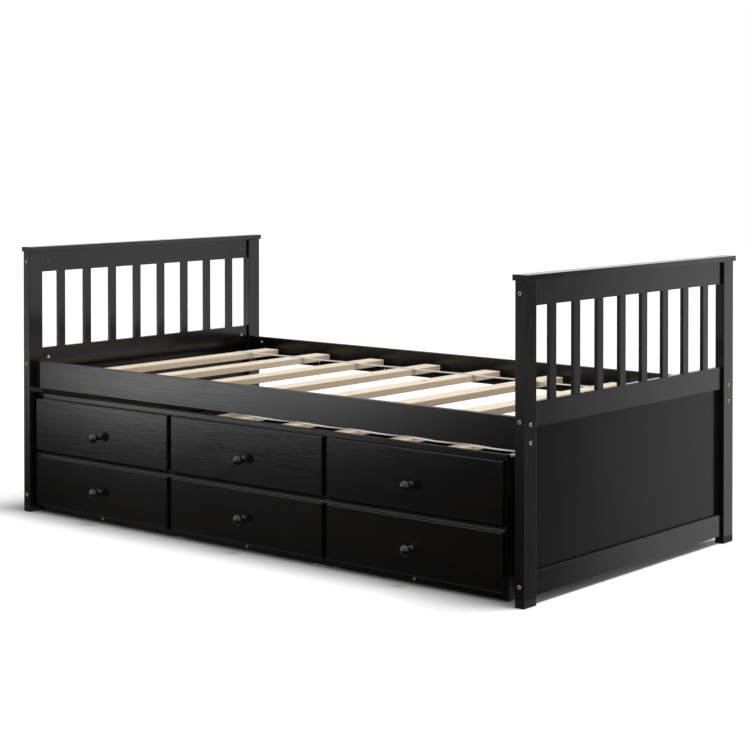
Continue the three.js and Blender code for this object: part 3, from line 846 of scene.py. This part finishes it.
def drawer_box(low, high):
    """Two sides, a front and a back between them, and a bottom in grooves, as one mesh."""
    wall, round_over = DRAWER_WALL, 1.2 * MM
    bm = bmesh.new()
    add_box(bm, (low.x, low.y, low.z), (low.x + wall, high.y, high.z), round_over)
    add_box(bm, (high.x - wall, low.y, low.z), (high.x, high.y, high.z), round_over)
    for y in (low.y, high.y - wall):
        add_box(bm, (low.x + wall, y, low.z), (high.x - wall, y + wall, high.z - 0.4 * MM), round_over)
    into = wall - DRAWER_GROOVE
    bottom_low = (low.x + into, low.y + into, low.z + 0.2 * MM)
    bottom_high = (high.x - into, high.y - into, low.z + DRAWER_BOTTOM)
    add_box(bm, bottom_low, bottom_high, 0.4 * MM, 1)
    return bm


def add_drawers(zinc, recess):
    board = painted_board("lacquer_drawer_box", 9)
    for column in COLUMNS:
        node, body = f"drawer_tray_{column}", f"drawer_{column}"
        low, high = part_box(node)
        name = f"drawer_box_{column}"
        box = add_piece(name, mesh_from(name, drawer_box(low, high)), board, body)
        shade = box.modifiers.new("shade", "WEIGHTED_NORMAL")
        shade.weight = 90
        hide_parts(node)
        screws = []
        for side, x in ((-1, low.x), (1, high.x)):
            for y in (low.y + DRAWER_WALL / 2, high.y - DRAWER_WALL / 2):
                for z in (low.z + DRAWER_SCREW_INSET, high.z - DRAWER_SCREW_INSET):
                    screws.append((side * X, Vector((x, y, z))))
        add_hardware(f"drawer_screws_{column}", body, screws, add_cross_screw, zinc, recess)


# ----------------------------------------------------------------------------------------------------
# Casters
# ----------------------------------------------------------------------------------------------------


def add_plate(bm, outline, thickness, matrix):
    """A flat plate from an outline in its XY plane, with its rim eased."""
    verts = [bm.verts.new((x, y, 0)) for x, y in outline]
    face = bm.faces.new(verts)
    made = bmesh.ops.extrude_face_region(bm, geom=[face])
    top = [v for v in made["geom"] if isinstance(v, bmesh.types.BMVert)]
    bmesh.ops.translate(bm, vec=(0, 0, thickness), verts=top)
    rim = [e for v in (*verts, *top) for e in v.link_edges if abs(e.verts[0].co.z - e.verts[1].co.z) < 1e-9]
    made = bmesh.ops.bevel(bm, geom=list(set(rim)), offset=0.35 * MM, segments=2, profile=0.5, affect="EDGES")
    every = {v for f in made["faces"] for v in f.verts} | {v for v in (*verts, *top) if v.is_valid}
    bmesh.ops.transform(bm, matrix=matrix, verts=list(every))


def rounded_rectangle(width, height, radius, steps=5):
    points = []
    for cx, cy, start in ((1, 1, 0), (-1, 1, 90), (-1, -1, 180), (1, -1, 270)):
        for i in range(steps + 1):
            angle = math.radians(start + 90 * i / steps)
            x = cx * (width / 2 - radius) + radius * math.cos(angle)
            points.append((x, cy * (height / 2 - radius) + radius * math.sin(angle)))
    return points


FORK_SHEET = 2.5 * MM
CHEEK_RADIUS, CHEEK_HALF_WIDTH = 8 * MM, 11.25 * MM
AXLE_END = [(0, 0), (2.2, 0.1), (3.4, 0.7), (3.8, 1.3), (3.0, 1.31)]  # (radius, depth) in millimetres

# Half of a wheel's section: its bore, hub, dished web and rim as (radius, depth) in millimetres, and then its
# tread with one groove as (depth under the tread, depth).
WHEEL_SIDE = [
    (3.3, 0.6), (6.5, 0.6), (7.0, 1.0), (7.4, 2.6), (8.2, 3.0), (14.2, 3.0),
    (15.2, 2.6), (15.6, 0.9), (16.2, 0.3), (17.4, 0.0), (18.8, 0.35), (19.7, 1.2),
]
WHEEL_TREAD = [(0, 2.6), (0, 5.6), (0.45, 5.9), (0.45, 6.5), (0, 6.8)]


def caster_fork(low, high, hub):
    """A pressed fork: a top plate, two cheeks rounded about the axle, and the riveted axle."""
    centre = (low + high) / 2
    under_plate = high.z - FORK_SHEET
    bm = bmesh.new()
    plate = rounded_rectangle(high.x - low.x, high.y - low.y, 3 * MM)
    add_plate(bm, plate, FORK_SHEET, Matrix.Translation((centre.x, centre.y, under_plate)))
    cheek_top = under_plate - hub.z + 0.4 * MM
    cheek = [(-CHEEK_HALF_WIDTH, cheek_top), (CHEEK_HALF_WIDTH, cheek_top)]
    for i in range(17):
        angle = -math.pi * i / 16
        cheek.append((CHEEK_RADIUS * math.cos(angle), CHEEK_RADIUS * math.sin(angle)))
    for x in (low.x, high.x - FORK_SHEET):
        # the outline's X lies along the row's Y, its Y along Z, and its thickness along X
        upright = Matrix(((0, 0, 1, x), (1, 0, 0, hub.y), (0, 1, 0, hub.z), (0, 0, 0, 1)))
        add_plate(bm, cheek, FORK_SHEET, upright)
    reach = high.x - low.x
    axle = [(radius * MM, depth * MM) for radius, depth in AXLE_END]
    axle += [(radius, reach - depth) for radius, depth in reversed(axle)]
    add_lathe(bm, axle, 28, facing(X, (low.x, hub.y, hub.z)))
    return bm


def caster_wheel(low, high, hub):
    """A moulded wheel with a dished web and two grooves in its tread."""
    steps = 64
    radius, width = (high.z - low.z) / 2, high.x - low.x
    side = [(r * MM, depth * MM) for r, depth in WHEEL_SIDE]
    side += [(radius - below * MM, depth * MM) for below, depth in WHEEL_TREAD]
    profile = side + [(r, width - depth) for r, depth in reversed(side)]
    bm = bmesh.new()
    rings = add_lathe(bm, profile, steps, facing(X, (low.x, hub.y, hub.z)))
    for i in range(steps):
        j = (i + 1) % steps
        bm.faces.new((rings[-1][i], rings[-1][j], rings[0][j], rings[0][i]))
    return bm


def add_casters(zinc):
    rubber = black_plastic("caster_wheel", (0.42, 0.6))
    for row, _ in SIDES:
        for side in ("left", "right"):
            fork_node, wheel_node = f"caster_fork_{row}_{side}", f"caster_wheel_{row}_{side}"
            low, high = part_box(fork_node)
            wheel_low, wheel_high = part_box(wheel_node)
            hub = (wheel_low + wheel_high) / 2
            name = f"pressed_{fork_node}"
            mesh = mesh_from(name, caster_fork(low, high, hub))
            fork = add_piece(name, mesh, zinc, "trundle")
            smooth_by_angle(fork)
            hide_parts(fork_node)

            name = f"moulded_{wheel_node}"
            mesh = mesh_from(name, caster_wheel(wheel_low, wheel_high, hub))
            wheel = add_piece(name, mesh, rubber, body_of_node[wheel_node])
            smooth_by_angle(wheel)
            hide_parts(wheel_node)


def smooth_by_angle(piece, degrees=35):
    """Keeps creases sharper than an angle."""
    for polygon in piece.data.polygons:
        polygon.use_smooth = True
    bm = bmesh.new()
    bm.from_mesh(piece.data)
    for edge in bm.edges:
        if len(edge.link_faces) == 2:
            edge.smooth = edge.calc_face_angle(0) < math.radians(degrees)
    bm.to_mesh(piece.data)
    bm.free()


# ----------------------------------------------------------------------------------------------------
# Studio
# ----------------------------------------------------------------------------------------------------


AMBIENT = 0.45  # what matt surfaces see all round
LAMP_STRENGTH = 0.95 * math.pi
LAMP_ANGLE = math.radians(22)
LAMP_SHINES = Vector((-0.22, -0.14, -1.0))
FLOOR_REACH = 14

# What polished surfaces see, as (azimuth, radiance). Azimuth is in degrees from +Y towards +X. A long softbox
# stands low in front of the bed: LOW is what is seen below its middle, and HIGH above it. BESIDE is the rest.
GLOSS_LOW = [
    (-180, 0.45), (-152, 0.35), (-146, 0.25), (-143.9, 0.40), (-142.4, 1.0), (-140.8, 2.1), (-139.4, 2.8),
    (-138.0, 3.1), (-136.7, 3.4), (-135.4, 3.6), (-134.1, 3.9), (-133.0, 4.1), (-131.9, 3.6), (-130.8, 2.0),
    (-129.7, 0.6), (-127, 0.2), (-110, 0.6),
]
GLOSS_HIGH = [
    (-180, 0.45), (-151, 0.45), (-144, 0.26), (-139, 0.6), (-136, 0.9), (-133, 0.7), (-129.3, 0.72),
    (-126, 0.85), (-110, 0.8),
]
GLOSS_BESIDE = [
    (-110, 0.7), (-60, 0.9), (0, 1.05), (28, 1.1), (30.4, 1.15), (31.8, 1.0), (33.0, 0.5), (33.8, 0.15),
    (34.6, 0.0), (42.0, 0.0), (43.8, 1.6), (46.0, 1.2), (48.3, 0.97), (55, 0.85), (90, 0.5), (130, 0.35),
    (180, 0.45),
]
# How LOW and BESIDE change with elevation in degrees, in front of the bed and behind it.
GLOSS_FRONT = [
    (-90, 0.01), (-14, 0.012), (-11, 0.018), (-10.3, 0.03), (-9.6, 0.04), (-9.0, 0.075), (-8.5, 0.15),
    (-8.1, 0.34), (-7.7, 0.70), (-7.4, 1.0), (-7.1, 1.2), (90, 1.0),
]
GLOSS_BACK = [(-90, 0.2), (-30, 0.4), (-14, 0.75), (-11, 0.92), (-8, 1.0), (90, 1.0)]
SOFTBOX_MIDDLE = (-6.7, -5.7)  # elevations between which LOW gives way to HIGH
CEILING = (15.0, 60.0)  # elevations between which the studio gives way to an even white
ROUND_TOP, RISE_TOP = 4.5, 1.5  # more than any radiance, and than any change with elevation


def curve_of(s, value, points, top):
    """A piecewise-linear function of a value, through points whose results lie between 0 and top."""
    low, high = points[0][0], points[-1][0]
    ramp = s.tree.nodes.new("ShaderNodeValToRGB")
    elements = ramp.color_ramp.elements
    while len(elements) < len(points):
        elements.new(0.5)
    for element, (at, result) in zip(elements, points):
        element.position = (at - low) / (high - low)
        element.color = (result / top,) * 3 + (1.0,)
    share = s.math("DIVIDE", s.math("SUBTRACT", value, low), high - low)
    s.feed(ramp.inputs[0], share)
    return s.math("MULTIPLY", ramp.outputs[0], top)


def make_world():
    """White to the camera and even to matt surfaces; to polish, a studio with softboxes and a dark floor."""
    world = bpy.data.worlds.new("studio")
    world.use_nodes = True
    s = Shader("", world.node_tree)
    outward = s.node("TexCoord", {}).outputs["Generated"]
    direction = s.node("VectorMath", {0: outward}, operation="NORMALIZE").outputs[0]
    split = s.node("SeparateXYZ", {"Vector": direction})
    dx, dy, dz = (split.outputs[axis] for axis in "XYZ")
    azimuth = s.math("MULTIPLY", s.math("ARCTAN2", dx, dy), 180 / math.pi)
    elevation = s.math("MULTIPLY", s.math("ARCSINE", dz), 180 / math.pi)
    beside = curve_of(s, azimuth, GLOSS_BESIDE, ROUND_TOP)
    in_front = s.math("LESS_THAN", azimuth, GLOSS_LOW[-1][0])
    below = s.mix_value(in_front, beside, curve_of(s, azimuth, GLOSS_LOW, ROUND_TOP))
    above = s.mix_value(in_front, beside, curve_of(s, azimuth, GLOSS_HIGH, ROUND_TOP))
    front = curve_of(s, elevation, GLOSS_FRONT, RISE_TOP)
    back = curve_of(s, elevation, GLOSS_BACK, RISE_TOP)
    behind = s.remap(dy, -0.25, 0.25)
    below = s.math("MULTIPLY", below, s.mix_value(behind, front, back))
    low_level = s.mix_value(s.remap(elevation, *SOFTBOX_MIDDLE), below, above)
    gloss = s.mix_value(s.remap(elevation, *CEILING), low_level, 1.0)
    path = s.node("LightPath", {})
    seen = s.mix_value(path.outputs["Is Glossy Ray"], AMBIENT, gloss)
    seen = s.mix_value(path.outputs["Is Camera Ray"], seen, 1.0)
    background = world.node_tree.nodes["Background"]
    s.feed(background.inputs["Strength"], seen)
    background.inputs["Color"].default_value = rgb(1, 1, 1)
    bpy.context.scene.world = world


def add_floor():
    corners = [(x * FLOOR_REACH, y * FLOOR_REACH, 0) for x, y in ((-1, -1), (1, -1), (1, 1), (-1, 1))]
    mesh = bpy.data.meshes.new("floor")
    mesh.from_pydata(corners, [], [(0, 1, 2, 3)])
    mesh.materials.append(matt_white("floor_paper"))
    floor = bpy.data.objects.new("floor", mesh)
    bpy.context.scene.collection.objects.link(floor)
    floor.visible_glossy = False


def add_lamp():
    lamp = bpy.data.lights.new("overhead", "SUN")
    lamp.energy = LAMP_STRENGTH
    lamp.angle = LAMP_ANGLE
    key = bpy.data.objects.new("overhead", lamp)
    key.rotation_euler = LAMP_SHINES.to_track_quat("-Z", "Y").to_euler()
    key.visible_glossy = False
    bpy.context.scene.collection.objects.link(key)


def set_studio():
    bpy.context.scene.view_settings.view_transform = "Standard"
    make_world()
    add_floor()
    add_lamp()


make_camera()
finish_boards()
add_knobs()
zinc_finish = metal("zinc", rgb(0.72, 0.71, 0.68), rgb(0.50, 0.49, 0.47), (0.22, 0.36))
# near-black steel in sockets, slots and screw crosses: painted shade for the dark inside them
recess_painted_shade = metal("recess", rgb(0.05, 0.05, 0.05), rgb(0.02, 0.02, 0.02), (0.4, 0.6))
add_fittings(zinc_finish, recess_painted_shade)
add_slats(zinc_finish)
add_drawers(zinc_finish, recess_painted_shade)
add_casters(zinc_finish)
set_studio()
